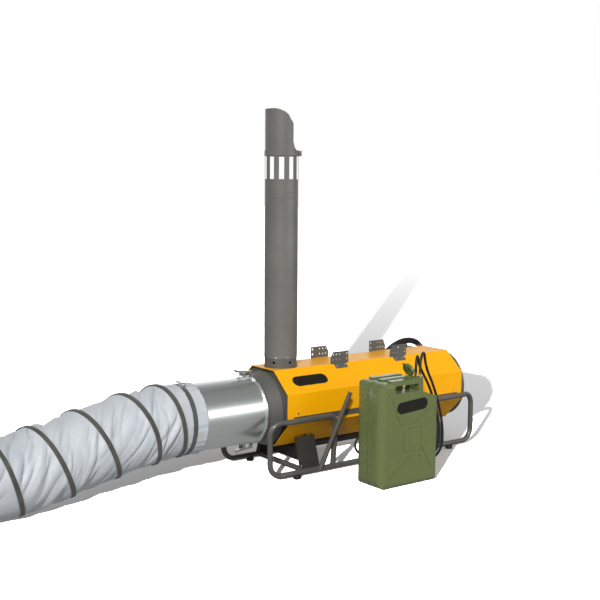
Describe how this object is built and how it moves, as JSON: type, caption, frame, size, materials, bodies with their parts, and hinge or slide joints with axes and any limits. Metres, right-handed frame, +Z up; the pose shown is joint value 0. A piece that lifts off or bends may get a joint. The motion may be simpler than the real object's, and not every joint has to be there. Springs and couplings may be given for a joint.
{
  "type": "indirect fired space heater",
  "caption": "Oil fired air heater in a yellow octagonal casing on a tube frame, with flue, fabric air duct, fuel hoses and a fuel can.",
  "frame": {"origin": "middle of the whole object's footprint, on the floor", "axes": "+X along the heater from the air outlet to the fan, +Z up; the fuel can stands on the -Y side"},
  "size_m": [3.0946, 0.8589, 1.6313],
  "materials": {
    "frame_paint": "satin",
    "dark_paint": "satin",
    "black_paint": "satin",
    "yellow_paint": "gloss",
    "box_paint": "satin",
    "olive_paint": "gloss",
    "black_rubber": "satin",
    "black_plastic": "matte",
    "red_plastic": "gloss",
    "green_lens": "gloss",
    "galvanised_steel": "satin",
    "bright_steel": "satin",
    "cast_aluminium": "matte",
    "brass": "satin",
    "duct_cloth": "satin",
    "duct_strip": "matte"
  },
  "bodies": {
    "heater": {"base_tubes": "frame_paint", "front_end_loops": "frame_paint", "rear_end_loops": "frame_paint", "cross_tubes": "frame_paint", "side_rails": "frame_paint", "leg_plates": "dark_paint", "saddle_plates": "black_paint", "undertray": "black_paint", "hanger_arms": "frame_paint", "rubber_feet": "black_rubber", "upper_cover": "yellow_paint", "lower_cover": "yellow_paint", "front_cone": "dark_paint", "rear_cover": "dark_paint", "inlet_guard": "frame_paint", "inner_shell": "dark_paint", "badge_plates": "black_plastic", "casing_fasteners": "bright_steel", "flue_collar": "dark_paint", "flue_pipe": "dark_paint", "hood_clamp": "bright_steel", "cradle_plates": "dark_paint", "outlet_adapter": "galvanised_steel", "latch_brackets": "galvanised_steel", "duct_fabric": "duct_cloth", "duct_spiral": "duct_strip", "duct_strap": "duct_strip", "control_box": "box_paint", "control_lid": "box_paint", "pilot_lamp": "green_lens", "thermostat_socket": "black_plastic", "cable_gland": "black_plastic", "cable_hook": "dark_paint", "power_cable": "black_rubber", "cable_coil": "black_rubber", "power_plug": "black_plastic", "combustion_chamber": "bright_steel", "heat_exchanger": "bright_steel", "fan_motor": "box_paint", "burner_housing": "bright_steel", "burner_motor": "box_paint", "fuel_pump": "cast_aluminium", "ignition_transformer": "black_plastic", "burner_nozzle": "brass", "suction_hose": "black_rubber", "return_hose": "black_rubber", "fuel_lance": "brass", "can_body": "olive_paint"},
    "hood": {"rain_hood": "dark_paint"},
    "fan": {"fan_impeller": "black_plastic"},
    "burner_fan": {"burner_wheel": "bright_steel"},
    "top_latch": {"latch_lever_top": "galvanised_steel"},
    "bottom_latch": {"latch_lever_bottom": "galvanised_steel"},
    "strap_catch": {"strap_lever": "galvanised_steel"},
    "cap": {"can_cap": "olive_paint"},
    "cap_lever": {"can_cap_lever": "olive_paint"},
    "knob": {"switch_knob": "black_plastic"},
    "button": {"reset_button": "red_plastic"},
    "flap": {"socket_flap": "black_plastic"},
    "shutter": {"air_shutter": "galvanised_steel"}
  },
  "joints": [
    {"name": "hood_turn", "type": "hinge", "parent": "heater", "child": "hood", "pos_m": [0.45625, 0.13875, 1.4493], "axis": [0, 0, 1], "continuous": true},
    {"name": "fan_spin", "type": "hinge", "parent": "heater", "child": "fan", "pos_m": [1.36525, 0.13875, 0.296], "axis": [1, 0, 0], "continuous": true},
    {"name": "burner_fan_spin", "type": "hinge", "parent": "heater", "child": "burner_fan", "pos_m": [0.95525, 0.13875, 0.296], "axis": [0, 1, 0], "continuous": true},
    {"name": "top_latch_swing", "type": "hinge", "parent": "heater", "child": "top_latch", "pos_m": [0.24795, 0.13875, 0.461], "axis": [0, -1, 0], "range_deg": [0, 40]},
    {"name": "bottom_latch_swing", "type": "hinge", "parent": "heater", "child": "bottom_latch", "pos_m": [0.24795, 0.13875, 0.131], "axis": [0, 1, 0], "range_deg": [0, 40]},
    {"name": "strap_catch_swing", "type": "hinge", "parent": "heater", "child": "strap_catch", "pos_m": [-0.08175, 0.09911, 0.455], "axis": [1, 0, 0], "range_deg": [0, 110]},
    {"name": "cap_swing", "type": "hinge", "parent": "heater", "child": "cap", "pos_m": [0.8231, -0.34125, 0.463], "axis": [0, -1, 0], "range_deg": [-25, 0]},
    {"name": "cap_lever_swing", "type": "hinge", "parent": "cap", "child": "cap_lever", "pos_m": [0.80235, -0.34125, 0.47873], "axis": [0, -1, 0], "range_deg": [0, 60]},
    {"name": "switch_turn", "type": "hinge", "parent": "heater", "child": "knob", "pos_m": [0.81925, 0.40175, 0.333], "axis": [0, 1, 0], "range_deg": [-60, 60]},
    {"name": "reset_press", "type": "slide", "parent": "heater", "child": "button", "axis": [0, -1, 0], "range_m": [0, 0.003], "stiffness_N_per_m": 400, "springref_m": -0.002},
    {"name": "flap_swing", "type": "hinge", "parent": "heater", "child": "flap", "pos_m": [0.95725, 0.41425, 0.356], "axis": [1, 0, 0], "range_deg": [0, 90]},
    {"name": "shutter_turn", "type": "hinge", "parent": "heater", "child": "shutter", "pos_m": [0.95525, 0.09375, 0.296], "axis": [0, 1, 0], "range_deg": [0, 30]}
  ]
}
